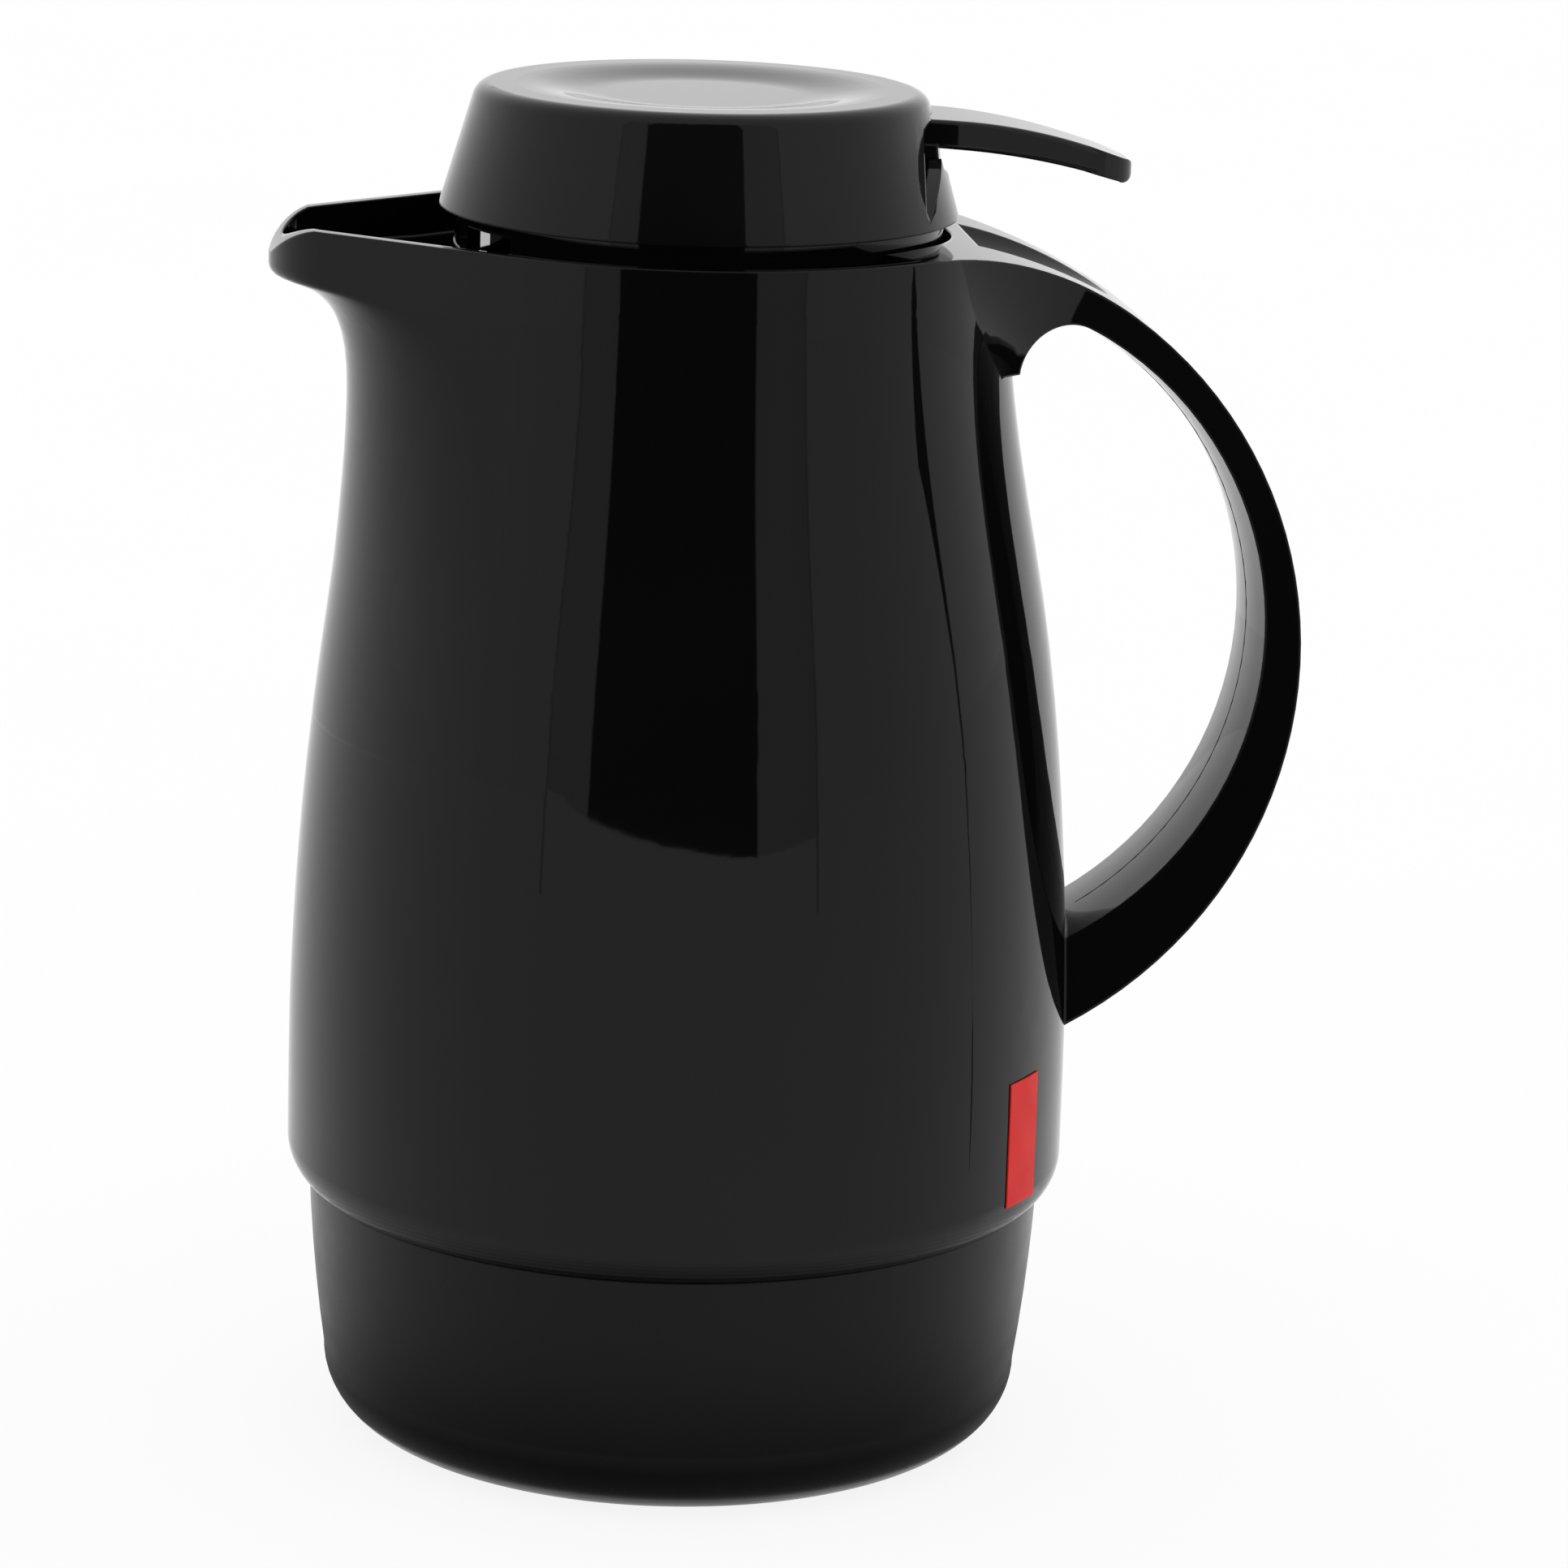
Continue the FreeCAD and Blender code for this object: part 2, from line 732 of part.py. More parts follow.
# Pads that hold the two glass walls apart
def glass_spacers():
    low = spacer_height - 2 * spacer_radius
    high = spacer_height + 2 * spacer_radius
    gap = tube(flask_radius - flask_wall - fit_gap, flask_inner_radius + fit_gap, low, high)
    pads = []
    for index in range(spacer_count):
        angle = 0.5 * math.pi + 2 * math.pi * index / spacer_count
        outward = plan(math.cos(angle), math.sin(angle))
        peg = Part.makeCylinder(spacer_radius, beyond, plan(0, 0, spacer_height), outward)
        pads.append(gap.common(peg).Solids[0])
    return Part.Compound(pads)


def centring_ring():
    outer = barrel_radius(centring_high) - jacket_wall - spigot_clearance
    return tube(outer, flask_radius + fit_gap, centring_high - centring_width, centring_high)


# Soft pad between the base cup's support and the flask, open for the glass tip
def base_cushion():
    top = flask_bottom - fit_gap
    skirt_bore = support_radius + cushion_slack
    skirt_low = support_top - cushion_skirt
    points = [side(cushion_bore, support_top), side(skirt_bore, support_top), side(skirt_bore, skirt_low),
              side(cushion_radius, skirt_low), side(cushion_radius, top - cushion_chamfer),
              side(cushion_radius - cushion_chamfer, top), side(cushion_bore, top)]
    return turned(closed(points))


def neck_gasket():
    outer = flask_neck_radius + neck_gasket_overhang
    return tube(outer, flask_bore_radius + gasket_inset, mouth_height, collar_bottom)


# Ridge that winds up a round wall, outward for sign 1 and inward for sign -1
def thread_ridge(wall_radius, sign, low):
    root = wall_radius - sign * thread_bury
    crest = wall_radius + sign * thread_depth
    half = 0.5 * thread_width
    crest_half = thread_crest_share * half
    outline = [side(root, low - half), side(crest, low - crest_half)]
    outline += [side(crest, low + crest_half), side(root, low + half)]
    helix = Part.makeHelix(thread_pitch, thread_climb, wall_radius)
    helix.translate(up * low)
    return Part.Wire(helix).makePipeShell([Part.Wire(closed(outline))], True, True)


# Threaded neck, clamped by its flange under the gutter floor
def neck_collar():
    flange_high = gutter_floor - gutter_floor_thickness - fit_gap
    flange_low = flange_high - collar_flange_thickness
    top = gutter_floor - fit_gap
    lip_top = collar_bottom + lip_thickness
    points = [side(lip_bore, collar_bottom), side(collar_radius, collar_bottom),
              side(collar_radius, flange_low), side(collar_flange_radius, flange_low),
              side(collar_flange_radius, flange_high),
              side(collar_radius, flange_high), side(collar_radius, top), side(collar_bore, top),
              side(collar_bore, lip_top), side(lip_bore, lip_top)]
    return turned(closed(points)).fuse(thread_ridge(collar_bore, -1, thread_low))


def stopper_gasket():
    low = collar_bottom + lip_thickness + fit_gap
    return tube(plug_radius - gasket_inset, lip_bore + gasket_inset, low, plug_bottom - fit_gap)


def stopper_plug():
    bore = plug_radius - plug_wall
    ring_bore = ring_radius - ring_wall
    ring_floor = ring_low + ring_floor_thickness
    hem = cap_hem_height - 2 * fit_gap
    spigot = cap_bore - fit_gap
    points = [side(seat_bore, plug_bottom), side(plug_radius, plug_bottom), side(plug_radius, ring_low),
              side(ring_radius, ring_low), side(ring_radius, hem), side(spigot, hem),
              side(spigot, spigot_top), side(spigot_bore, spigot_top), side(spigot_bore, ledge_high),
              side(ledge_bore, ledge_high),
              side(ledge_bore, ledge_low), side(ring_bore, ledge_low), side(ring_bore, ring_floor),
              side(bore, ring_floor), side(bore, seat_height), side(seat_bore, seat_height)]
    ridge_low = thread_low - thread_width - thread_clearance
    plug = turned(closed(points)).fuse(thread_ridge(plug_radius, 1, ridge_low))
    for index in range(window_count):
        window = block(window_start, beyond, window_half_width, ring_floor, ledge_low)
        window.rotate(origin, up, 180 + window_step * (index - 0.5 * (window_count - 1)))
        plug = plug.cut(window)
    return plug


def cap_radius(height):
    share = (height - cap_hem_height) / (cap_top - cap_hem_height)
    return cap_hem_radius + share * (cap_top_radius - cap_hem_radius)


# Arch-shaped hollow beside the lever, on the +Y side for hand 1 and the -Y side for hand -1
def cap_arch(hand):
    start_y = hand * slot_half_width
    top = point(arch_start_x, start_y, cap_top - arch_drop)
    shoulder = point(arch_start_x, start_y + hand * arch_shoulder[0], cap_top - arch_shoulder[1])
    foot = point(arch_start_x, start_y + hand * arch_foot[0], cap_hem_height + arch_foot[1])
    flank = point(arch_start_x, start_y + hand * arch_flank[0], cap_hem_height + arch_flank[1])
    inner = point(arch_start_x, start_y, cap_hem_height + arch_inner_rise)
    outline = Part.Wire([arc(top, shoulder, foot), arc(foot, flank, inner), line(inner, top)])
    return Part.Face(outline).extrude(plan(beyond, 0))


def cap_shell():
    slope = math.atan2(cap_hem_radius - cap_top_radius, cap_top - cap_hem_height)
    run = cap_edge_radius * math.tan(0.25 * math.pi - 0.5 * slope)
    edge_start = side(cap_top_radius + run * math.sin(slope), cap_top - run * math.cos(slope))
    edge_end = side(cap_top_radius - run, cap_top)
    bisector = 0.25 * math.pi + 0.5 * slope
    edge_middle = side(edge_end.x + cap_edge_radius * math.cos(bisector),
                       cap_top - cap_edge_radius * (1 - math.sin(bisector)))
    dish_floor = cap_top - dish_depth
    dish_start = side(dish_radius + 0.5 * dish_slope, cap_top)
    dish_end = side(dish_radius - 0.5 * dish_slope, dish_floor)
    under = dish_floor - cap_wall
    chamfer_low = under - cap_inner_chamfer
    hem = side(cap_hem_radius, cap_hem_height)
    edges = [line(hem, edge_start), arc(edge_start, edge_middle, edge_end), line(edge_end, dish_start)]
    edges.append(spline([dish_start, dish_end], inward, inward))
    edges += path([dish_end, side(0, dish_floor), side(0, under),
                   side(cap_radius(under) - cap_wall - cap_inner_chamfer, under),
                   side(cap_radius(chamfer_low) - cap_wall, chamfer_low),
                   side(cap_bore, spigot_top + cap_seat_room), side(cap_bore, cap_hem_height), hem])
    cap = turned(edges)
    core = turned(closed([side(0, cap_hem_height), hem, side(cap_radius(under), under), side(0, under)]))
    back_low = cap_hem_height + arch_back_rise
    back = block(arch_start_x - arch_back_wall, arch_start_x, beyond, back_low, cap_top)
    back = back.cut(block(0, beyond, slot_half_width, cap_hem_height, cap_top))
    cap = cap.fuse(back.common(core))
    relief = turned(closed([side(relief_bore, relief_low), side(relief_low_radius, relief_low),
                            side(relief_high_radius, slot_low), side(relief_bore, slot_low)]))
    cap = cap.cut(relief.common(block(0, beyond, slot_half_width, relief_low, slot_low)))
    cap = cap.cut(block(slot_start_x, beyond, slot_half_width, slot_low, slot_high))
    return cap.cut(cap_arch(-1)).cut(cap_arch(1))


def valve_guide():
    plate = disc(spigot_bore - 2 * fit_gap, guide_low, guide_high)
    plate = plate.fuse(disc(guide_boss_radius, guide_low - guide_boss_drop, guide_low))
    foot = cheek_round + cheek_spread
    front = side(pivot_x + cheek_round, pivot_z)
    back = side(pivot_x - cheek_round, pivot_z)
    edges = path([back, side(pivot_x - foot, guide_high), side(pivot_x + foot, guide_high), front])
    edges.append(arc(front, side(pivot_x, pivot_z + cheek_round), back))
    cheeks = crossways(edges, cheek_outer).cut(crossways(edges, cheek_inner))
    hole = cross_rod(pin_radius + pin_press, beyond, pivot_x, pivot_z)
    bore = disc(stem_radius + stem_clearance, guide_low - guide_boss_drop, guide_high)
    return plate.fuse(cheeks).cut(hole).cut(bore)


def lever_pin():
    return cross_rod(pin_radius, cheek_outer, pivot_x, pivot_z)


# The arm that the thumb presses, tapered in plan and rounded along its two flanks
def lever_arm():
    pivot = side(pivot_x, pivot_z)
    root_top = pivot + side(*lever_top_root)
    root_low = pivot + side(*lever_low_root)
    tip_top = side(lever_tip_x - lever_tip_top_inset, pivot_z + lever_tip_top)
    tip_low = side(lever_tip_x - lever_tip_low_inset, pivot_z + lever_tip_low)
    edges = [arc(root_top, pivot + side(*lever_top_middle), tip_top)]
    edges.append(arc(tip_top, side(lever_tip_x, pivot_z + lever_tip_nose), tip_low))
    edges.append(arc(tip_low, pivot + side(*lever_low_middle), root_low))
    edges += path([root_low, side(pivot_x, pivot_z - lever_boss)])
    edges += path([side(pivot_x, pivot_z - lever_boss), side(pivot_x, pivot_z + lever_boss), root_top])
    wide = lever_root_half_width
    narrow = lever_tip_half_width
    end_x = lever_tip_x - narrow
    outline = path([plan(0, -wide), plan(lever_taper_x, -wide), plan(end_x, -narrow)])
    outline.append(arc(plan(end_x, -narrow), plan(lever_tip_x, 0), plan(end_x, narrow)))
    outline += path([plan(end_x, narrow), plan(lever_taper_x, wide), plan(0, wide), plan(0, -wide)])
    arm = crossways(edges, wide).common(upright(outline, guide_high, cap_top))
    rims = []
    for edge in arm.Edges:
        box = edge.BoundBox
        if box.Center.x > root_top.x and box.XMax < end_x + fit_gap and box.XLength > lever_edge_round:
            rims.append(edge)
    return arm.makeFillet(lever_edge_round, rims)


# Two-pronged fork that lifts the stem's clip with its rounded nose
def lever_fork():
    low = guide_high + fork_floor_gap
    bend_x = clip_radius + fork_bend_gap
    nose_top = nose_z + nose_radius
    outline = [side(0, low), side(bend_x, low), side(pivot_x, pivot_z - lever_boss),
               side(pivot_x, pivot_z + lever_boss - fork_floor_gap),
               side(bend_x, nose_top - fork_floor_gap), side(0, nose_top - nose_slope)]
    fork = crossways(closed(outline), fork_half_width)
    fork = fork.fuse(cross_rod(nose_radius, fork_half_width, 0, nose_z))
    fork = fork.common(block(-fork_reach, pivot_x, fork_half_width, low, cap_top))
    return fork.cut(block(-fork_reach, fork_reach, fork_half_gap, guide_high, cap_top))


# Curved plate under the arm that follows the cap's cone and closes the slot
def lever_leg():
    top = pivot_z + lever_low_root[1] + leg_overlap
    top_radius = cap_radius(top) - fit_gap
    plate = turned(closed([side(leg_low_radius - leg_wall, leg_low), side(leg_low_radius, leg_low),
                           side(top_radius, top), side(top_radius - 1.5 * leg_wall, top)]))
    return plate.common(block(pivot_x, beyond, leg_half_width, leg_low, top))


def lever():
    boss = cross_rod(lever_boss, cheek_inner - boss_side_gap, pivot_x, pivot_z)
    bore = cross_rod(pin_radius + pin_clearance, beyond, pivot_x, pivot_z)
    whole = lever_arm().fuse(boss).fuse(lever_fork()).fuse(lever_leg())
    return whole.cut(bore).removeSplitter()


def valve_poppet():
    return disc(disc_radius, disc_low, disc_high).fuse(disc(stem_radius, disc_low, stem_top))


def valve_seal():
    return tube(disc_radius - seal_inset, seal_bore, seat_height + seal_gap, disc_low)


# Open helix of round wire between the valve disc and the guide
def valve_spring():
    low = disc_high + spring_wire
    high = guide_low - guide_boss_drop - spring_wire
    pitch = (high - low) / spring_turns
    helix = Part.makeHelix(pitch, high - low, spring_radius)
    helix.translate(up * low)
    ring = Part.Wire(Part.makeCircle(spring_wire, side(spring_radius, low), across))
    print("spring turns stand apart by", round(pitch - 2 * spring_wire, 2))
    return Part.Wire(helix).makePipeShell([ring], True, True)


# Ring clipped on the stem, open on the side away from the lever
def stem_clip():
    ring = tube(clip_radius, stem_radius + clip_grip, clip_low, clip_high)
    return ring.cut(block(-2 * clip_radius, 0, clip_slot_half_width, clip_low, clip_high))


def side_label():
    skin = barrel(label_thickness).cut(barrel(0.0))
    patch = block(0, beyond, label_half_width, label_low, label_high)
    patch.rotate(origin, up, label_angle)
    return skin.common(patch)


pieces = [body_jacket, base_cup, base_seal_ring, glass_outer, glass_inner, glass_spacers, centring_ring]
pieces += [base_cushion, neck_gasket, neck_collar, side_label, stopper_gasket, stopper_plug, cap_shell]
pieces += [valve_guide, lever_pin, lever, valve_poppet, valve_seal, valve_spring, stem_clip]

os.makedirs("parts", exist_ok=True)
for piece in pieces:
    name = piece.__name__
    shape = piece()
    shape.exportStep("parts/" + name + ".step")
    print(name, shape.isValid(), len(shape.Solids), round(shape.Volume / 1000, 2))
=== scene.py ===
import bmesh
import bpy
import math
from mathutils import Matrix, Vector


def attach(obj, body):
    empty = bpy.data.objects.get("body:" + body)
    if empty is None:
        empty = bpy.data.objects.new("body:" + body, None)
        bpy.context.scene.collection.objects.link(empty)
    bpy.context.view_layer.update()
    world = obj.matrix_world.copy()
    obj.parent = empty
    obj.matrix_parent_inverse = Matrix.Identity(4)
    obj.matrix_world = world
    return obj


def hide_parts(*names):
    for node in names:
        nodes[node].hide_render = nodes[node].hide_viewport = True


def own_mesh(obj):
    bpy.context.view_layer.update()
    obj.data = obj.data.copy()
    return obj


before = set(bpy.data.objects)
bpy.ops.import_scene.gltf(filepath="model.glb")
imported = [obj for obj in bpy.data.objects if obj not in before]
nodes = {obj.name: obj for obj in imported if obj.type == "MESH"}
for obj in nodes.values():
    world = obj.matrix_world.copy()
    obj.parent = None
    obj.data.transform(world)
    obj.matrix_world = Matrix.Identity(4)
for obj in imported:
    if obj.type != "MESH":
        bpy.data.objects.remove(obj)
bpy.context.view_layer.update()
scene = bpy.context.scene
scene.view_settings.view_transform = "Standard"
print("frame loaded:", len(nodes), "nodes")


# camera: stands in front, a little above, turned a few degrees towards the spout side
cameraSet = {"distance": 0.9779, "height": 0.3553, "swing": 6.0, "yaw": 0.0176, "pitch": 0.2432,
             "roll": 0.0311, "lens": 135.0}


def makeCamera(s):
    turn = Matrix.Rotation(math.radians(-s["swing"]), 3, "Z")
    level = math.cos(s["pitch"])
    forward = Vector((math.sin(s["yaw"]) * level, math.cos(s["yaw"]) * level, -math.sin(s["pitch"])))
    right = Vector((math.cos(s["yaw"]), -math.sin(s["yaw"]), 0.0))
    upward = right.cross(forward)
    rolledRight = right * math.cos(s["roll"]) + upward * math.sin(s["roll"])
    rolledUp = upward * math.cos(s["roll"]) - right * math.sin(s["roll"])
    axes = Matrix((turn @ rolledRight, turn @ rolledUp, turn @ -forward)).transposed()
    lens = bpy.data.cameras.new("studioCamera")
    lens.lens = s["lens"]
    lens.sensor_width = 36.0
    lens.clip_end = 50.0
    camera = bpy.data.objects.new("studioCamera", lens)
    place = turn @ Vector((0.0, -s["distance"], s["height"]))
    camera.matrix_world = Matrix.Translation(place) @ axes.to_4x4()
    scene.collection.objects.link(camera)
    scene.camera = camera


makeCamera(cameraSet)
print("camera placed")


# small helpers for node trees
def addNode(tree, kind, **inputs):
    node = tree.nodes.new(kind)
    for label, value in inputs.items():
        node.inputs[label].default_value = value
    return node


def mathNode(tree, operation, a, b=None):
    node = tree.nodes.new("ShaderNodeMath")
    node.operation = operation
    for slot, value in enumerate((a, b)):
        if value is None:
            continue
        if isinstance(value, (int, float)):
            node.inputs[slot].default_value = value
        else:
            tree.links.new(value, node.inputs[slot])
    return node.outputs[0]


def rampNode(tree, factor, stops):
    node = tree.nodes.new("ShaderNodeValToRGB")
    ramp = node.color_ramp
    while len(ramp.elements) < len(stops):
        ramp.elements.new(0.5)
    for element, (position, value) in zip(ramp.elements, stops):
        element.position = position
        tone = value if isinstance(value, tuple) else (value, value, value)
        element.color = tone + (1.0,)
    tree.links.new(factor, node.inputs["Fac"])
    return node.outputs["Color"]


def noiseNode(tree, place, scale, detail, roughness=0.5):
    node = addNode(tree, "ShaderNodeTexNoise", Scale=scale, Detail=detail, Roughness=roughness)
    tree.links.new(place, node.inputs["Vector"])
    return node.outputs["Fac"]


def rangeNode(tree, factor, span, limits):
    node = tree.nodes.new("ShaderNodeMapRange")
    for label, value in zip(("From Min", "From Max", "To Min", "To Max"), span + limits):
        node.inputs[label].default_value = value
    tree.links.new(factor, node.inputs["Value"])
    return node.outputs[0]


def bumpNode(tree, height, relief, depth):
    node = addNode(tree, "ShaderNodeBump", Strength=relief, Distance=depth)
    tree.links.new(height, node.inputs["Height"])
    return node


# studio: a plain white tent that grows a little brighter behind
studio = {
    "gain": 1.5,                     # tones by the angle from the camera's side
    "tones": [(-180, 0.78), (-110, 0.71), (-60, 0.64), (60, 0.64), (110, 0.71), (180, 0.78)],
}


def makeStudio(s):
    world = bpy.data.worlds.new("studioTent")
    world.use_nodes = True
    tree = world.node_tree
    tree.nodes.clear()
    direction = tree.nodes.new("ShaderNodeTexCoord").outputs["Generated"]
    parts = tree.nodes.new("ShaderNodeSeparateXYZ")
    tree.links.new(direction, parts.inputs[0])
    x, y = parts.outputs["X"], parts.outputs["Y"]
    sway = math.radians(cameraSet["swing"])
    ahead = mathNode(tree, "ADD", mathNode(tree, "MULTIPLY", x, -math.sin(sway)),
                     mathNode(tree, "MULTIPLY", y, -math.cos(sway)))
    aside = mathNode(tree, "ADD", mathNode(tree, "MULTIPLY", x, math.cos(sway)),
                     mathNode(tree, "MULTIPLY", y, -math.sin(sway)))
    turn = mathNode(tree, "ARCTAN2", aside, ahead)
    share = mathNode(tree, "ADD", mathNode(tree, "DIVIDE", turn, 2 * math.pi), 0.5)
    tones = rampNode(tree, share, [((angle + 180) / 360, value) for angle, value in s["tones"]])
    tent = addNode(tree, "ShaderNodeBackground", Strength=s["gain"])
    tree.links.new(tones, tent.inputs["Color"])
    sheet = addNode(tree, "ShaderNodeBackground", Color=(1.0, 1.0, 1.0, 1.0), Strength=1.0)
    seen = tree.nodes.new("ShaderNodeLightPath")
    choose = tree.nodes.new("ShaderNodeMixShader")
    tree.links.new(seen.outputs["Is Camera Ray"], choose.inputs[0])
    tree.links.new(tent.outputs[0], choose.inputs[1])
    tree.links.new(sheet.outputs[0], choose.inputs[2])
    out = tree.nodes.new("ShaderNodeOutputWorld")
    tree.links.new(choose.outputs[0], out.inputs["Surface"])
    scene.world = world


makeStudio(studio)


# cards: the dark gap in front of the tent with its grey wings, a flag beside the handle, shade round the base
cards = {
    "weave": {"scale": 4.0, "detail": 1.0, "span": (0.2, 0.8), "drift": 0.06},
    "ahead": 0.45, "top": 0.75,
    "panels": [                      # name, left, right, left foot, right foot, brightness
        ("gapWingLeft", -0.363, -0.223, 0.113, 0.104, 0.70),
        ("gapDark", -0.223, 0.170, 0.104, 0.088, 0.022),
        ("gapWingRight", 0.170, 0.351, 0.088, 0.088, 0.70),
        ("gapEdgeLeft", -0.371, -0.363, 0.050, 0.050, 0.52),
        ("gapEdgeRight", 0.351, 0.359, 0.045, 0.045, 0.52),
    ],
    "flag": {"centre": (0.042, -0.050, 0.131), "inner": 0.051, "outer": 0.080, "from": -78.0, "to": 66.0,
             "steps": 40, "brightness": 0.03},
    "foot": {"lift": 0.0001, "steps": 72,   # rings on the floor round the base: inner, outer, brightness
             "rings": [(0.056, 0.072, 0.22), (0.072, 0.084, 0.38), (0.084, 0.097, 0.56), (0.097, 0.112, 0.75),
                       (0.112, 0.130, 0.90)]},
}


# a card that only glossy reflections see
def glossCard(name, corners, faces, brightness):
    mesh = bpy.data.meshes.new(name)
    mesh.from_pydata(corners, [], faces)
    card = bpy.data.objects.new(name, mesh)
    scene.collection.objects.link(card)
    card.visible_camera = False
    card.visible_diffuse = False
    card.visible_shadow = False
    card.visible_transmission = False
    cloth = bpy.data.materials.new(name)
    cloth.use_nodes = True
    tree = cloth.node_tree
    tree.nodes.clear()
    place = tree.nodes.new("ShaderNodeTexCoord").outputs["Object"]
    weave = cards["weave"]
    tone = rampNode(tree, noiseNode(tree, place, weave["scale"], weave["detail"]),
                    [(weave["span"][0], (1 - weave["drift"]) * brightness),
                     (weave["span"][1], (1 + weave["drift"]) * brightness)])
    glow = tree.nodes.new("ShaderNodeEmission")
    tree.links.new(tone, glow.inputs["Color"])
    out = tree.nodes.new("ShaderNodeOutputMaterial")
    tree.links.new(glow.outputs[0], out.inputs["Surface"])
    mesh.materials.append(cloth)


def makeCards(s):
    sway = math.radians(cameraSet["swing"])
    aside = Vector((math.cos(sway), -math.sin(sway), 0.0))
    middle = Vector((-math.sin(sway), -math.cos(sway), 0.0)) * s["ahead"]
    for name, left, right, footLeft, footRight, brightness in s["panels"]:
        corners = []
        for x, z in ((left, footLeft), (right, footRight), (right, s["top"]), (left, s["top"])):
            corners.append(middle + aside * x + Vector((0.0, 0.0, z)))
        glossCard(name, corners, [(0, 1, 2, 3)], brightness)
    flag = s["flag"]
    corners = []
    for step in range(flag["steps"] + 1):
        angle = math.radians(flag["from"] + (flag["to"] - flag["from"]) * step / flag["steps"])
        for reach in (flag["inner"], flag["outer"]):
            corners.append(Vector(flag["centre"]) + Vector((math.cos(angle), 0.0, math.sin(angle))) * reach)
    faces = [(2 * step, 2 * step + 1, 2 * step + 3, 2 * step + 2) for step in range(flag["steps"])]
    glossCard("handleFlag", corners, faces, flag["brightness"])
    foot = s["foot"]
    for number, (inner, outer, brightness) in enumerate(foot["rings"]):
        corners = []
        for step in range(foot["steps"]):
            angle = 2 * math.pi * step / foot["steps"]
            for reach in (inner, outer):
                corners.append(Vector((reach * math.cos(angle), reach * math.sin(angle), foot["lift"])))
        count = len(corners)
        faces = [(at, at + 1, (at + 3) % count, (at + 2) % count) for at in range(0, count, 2)]
        glossCard("footShade" + str(number), corners, faces, brightness)


makeCards(cards)


# floor: pale sweep, lit through from below so that only a soft contact shadow stays
floorSet = {"radius": 3.0, "segments": 96, "drop": 0.0002, "glow": 1.02, "share": 0.86, "tone": 0.82, "drift": 0.01,
            "grain": 6.0, "detail": 3.0, "span": (0.3, 0.7)}


def makeFloor(s):
    mesh = bpy.data.meshes.new("studioFloor")
    shape = bmesh.new()
    bmesh.ops.create_circle(shape, cap_ends=True, segments=s["segments"], radius=s["radius"])
    bmesh.ops.translate(shape, verts=shape.verts, vec=(0.0, 0.0, -s["drop"]))
    shape.to_mesh(mesh)
    shape.free()
    floor = bpy.data.objects.new("studioFloor", mesh)
    scene.collection.objects.link(floor)
    paper = bpy.data.materials.new("studioPaper")
    paper.use_nodes = True
    tree = paper.node_tree
    tree.nodes.clear()
    place = tree.nodes.new("ShaderNodeTexCoord").outputs["Object"]
    tone = rampNode(tree, noiseNode(tree, place, s["grain"], s["detail"]),
                    [(s["span"][0], s["tone"] - s["drift"]), (s["span"][1], s["tone"] + s["drift"])])
    matt = tree.nodes.new("ShaderNodeBsdfDiffuse")
    tree.links.new(tone, matt.inputs["Color"])
    glow = addNode(tree, "ShaderNodeEmission", Color=(1.0, 1.0, 1.0, 1.0), Strength=s["glow"])
    mix = addNode(tree, "ShaderNodeMixShader", Fac=s["share"])
    tree.links.new(matt.outputs[0], mix.inputs[1])
    tree.links.new(glow.outputs[0], mix.inputs[2])
    out = tree.nodes.new("ShaderNodeOutputMaterial")
    tree.links.new(mix.outputs[0], out.inputs["Surface"])
    mesh.materials.append(paper)


makeFloor(floorSet)
print("studio and floor ready")


# a finish starts as a shader with the place on the piece
def newFinish(name):
    finish = bpy.data.materials.new(name)
    finish.use_nodes = True
    tree = finish.node_tree
    place = tree.nodes.new("ShaderNodeTexCoord").outputs["Object"]
    return finish, tree, tree.nodes["Principled BSDF"], place


# moulded finish: tone drifts a little, gloss varies, fine skin in relief, edges catch light
moulding = {"span": (0.3, 0.7), "driftDetail": 2.0, "rubDetail": 4.0, "rubRoughness": 0.6, "edgeSamples": 6}


def mouldedFinish(name, s):
    finish, tree, skin, place = newFinish(name)
    low, high = moulding["span"]
    drift = noiseNode(tree, place, s["driftScale"], moulding["driftDetail"])
    tree.links.new(rampNode(tree, drift, [(low, s["dark"]), (high, s["light"])]), skin.inputs["Base Color"])
    rub = noiseNode(tree, place, s["rubScale"], moulding["rubDetail"], moulding["rubRoughness"])
    tree.links.new(rangeNode(tree, rub, moulding["span"], s["roughness"]), skin.inputs["Roughness"])
    relief = bumpNode(tree, noiseNode(tree, place, s["skinScale"], s["skinDetail"]), s["relief"], s["depth"])
    if s.get("edge"):
        edge = addNode(tree, "ShaderNodeBevel", Radius=s["edge"])
        edge.samples = moulding["edgeSamples"]
        tree.links.new(edge.outputs[0], relief.inputs["Normal"])
    tree.links.new(relief.outputs[0], skin.inputs["Normal"])
    skin.inputs["IOR"].default_value = s["ior"]
    return finish


# drawn or turned steel: fine streaks along the wire or around the pin
def steelFinish(name, s):
    finish, tree, skin, place = newFinish(name)
    stretch = addNode(tree, "ShaderNodeMapping", Scale=s["streak"])
    tree.links.new(place, stretch.inputs["Vector"])
    streaks = noiseNode(tree, stretch.outputs[0], s["scale"], s["detail"])
    low, high = s["span"]
    tree.links.new(rampNode(tree, streaks, [(low, s["dark"]), (high, s["light"])]), skin.inputs["Base Color"])
    tree.links.new(rangeNode(tree, streaks, (0.0, 1.0), s["roughness"]), skin.inputs["Roughness"])
    relief = bumpNode(tree, streaks, s["relief"], s["depth"])
    tree.links.new(relief.outputs[0], skin.inputs["Normal"])
    skin.inputs["Metallic"].default_value = 1.0
    return finish


